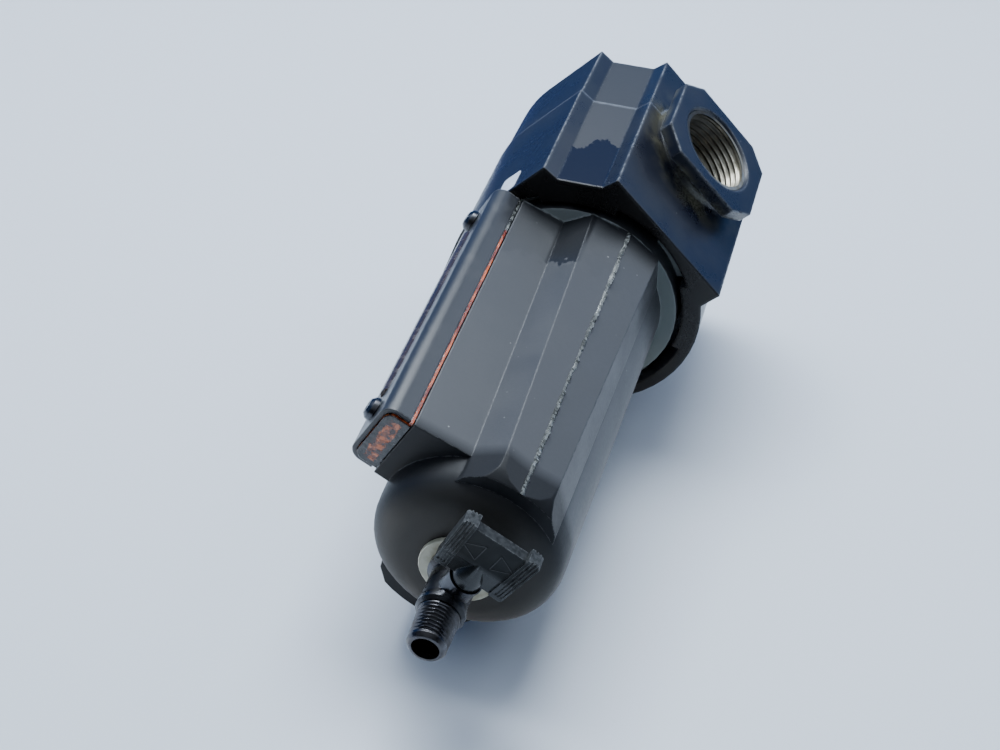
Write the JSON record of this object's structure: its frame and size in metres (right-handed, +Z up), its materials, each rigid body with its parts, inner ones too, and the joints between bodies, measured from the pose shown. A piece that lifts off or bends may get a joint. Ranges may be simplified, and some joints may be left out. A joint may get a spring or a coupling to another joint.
{
  "type": "compressed air filter",
  "caption": "Compressed air filter: painted cast head with threaded port flanges, tapered metal bowl with a side level gauge, and a quarter-turn drain valve below.",
  "frame": {"origin": "centre of the head's flat top face, on the bowl axis", "axes": "+Z up out of the head's top, the bowl hangs towards -Z; +X out of the outlet port, -X out of the inlet port; -Y is the front"},
  "size_m": [0.113, 0.0981, 0.2599],
  "materials": {
    "head_paint": "semi-gloss black paint, worn bright on the edges",
    "bowl_paint": "satin black paint, rubbed grey",
    "cover_paint": "glossy black coated sheet metal",
    "lens_plastic": "clear plastic, amber and oily inside",
    "machined_metal": "bare machined metal",
    "dark_steel": "dark plated steel",
    "nylon": "cream nylon",
    "handle_plastic": "charcoal moulded plastic",
    "inner_plastic": "grey moulded plastic",
    "rubber": "nitrile rubber",
    "filter_medium": "pleated fibre medium"
  },
  "bodies": {
    "head": {"head_casting": "head_paint", "element_stud": "machined_metal", "deflector_gasket": "rubber", "swirl_deflector": "inner_plastic", "element_cap_top": "inner_plastic", "filter_element": "filter_medium", "element_cap_bottom": "inner_plastic", "baffle": "inner_plastic", "baffle_nut": "inner_plastic"},
    "seal": {"bowl_o_ring": "rubber"},
    "bowl": {"bowl_shell": "bowl_paint", "gauge_seal": "rubber", "gauge_lens": "lens_plastic", "gauge_cover": "cover_paint", "gauge_screw_upper": "dark_steel", "gauge_screw_lower": "dark_steel", "drain_washer": "nylon", "drain_body": "dark_steel", "drain_locknut": "machined_metal", "ball_seat_upper": "nylon", "ball_seat_lower": "nylon", "drain_nipple": "dark_steel", "stem_o_ring": "rubber"},
    "cock": {"drain_ball": "machined_metal", "drain_stem": "machined_metal", "drain_handle": "handle_plastic"}
  },
  "joints": [
    {"name": "bowl_turn", "type": "hinge", "parent": "head", "child": "seal", "pos_m": [0, 0, -0.07], "axis": [0, 0, 1], "range_deg": [-20, 15.4]},
    {"name": "bowl_drop", "type": "slide", "parent": "seal", "child": "bowl", "axis": [0, 0, -1], "range_m": [0, 0.15]},
    {"name": "cock_turn", "type": "hinge", "parent": "bowl", "child": "cock", "pos_m": [0, 0, -0.2391], "axis": [0.9641, -0.2656, 0], "range_deg": [0, 90]}
  ]
}
